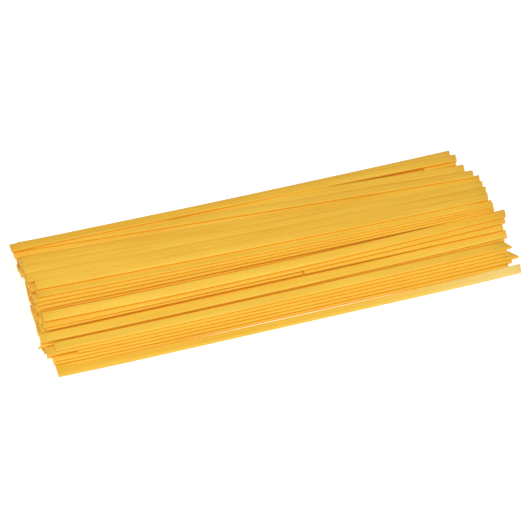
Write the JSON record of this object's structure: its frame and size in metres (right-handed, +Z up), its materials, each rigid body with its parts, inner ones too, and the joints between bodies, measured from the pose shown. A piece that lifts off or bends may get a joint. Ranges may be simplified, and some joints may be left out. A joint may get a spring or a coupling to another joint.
{
  "type": "bundle of dry fettuccine",
  "caption": "Loose bundle of long dry flat pasta ribbons, heaped in layers with a stepped front slope and uneven cut ends.",
  "frame": {"origin": "middle of the bundle's outline, on the table", "axes": "+X along the ribbons, +Y from the gentle front slope to the steep back slope, +Z up"},
  "size_m": [0.2694, 0.1046, 0.0225],
  "materials": {
    "dry_pasta": "satin, smooth and faintly translucent dry egg-yellow pasta, paler on cut ends"
  },
  "bodies": {
    "root": {"fettuccine_bundle": "dry_pasta"}
  },
  "joints": []
}
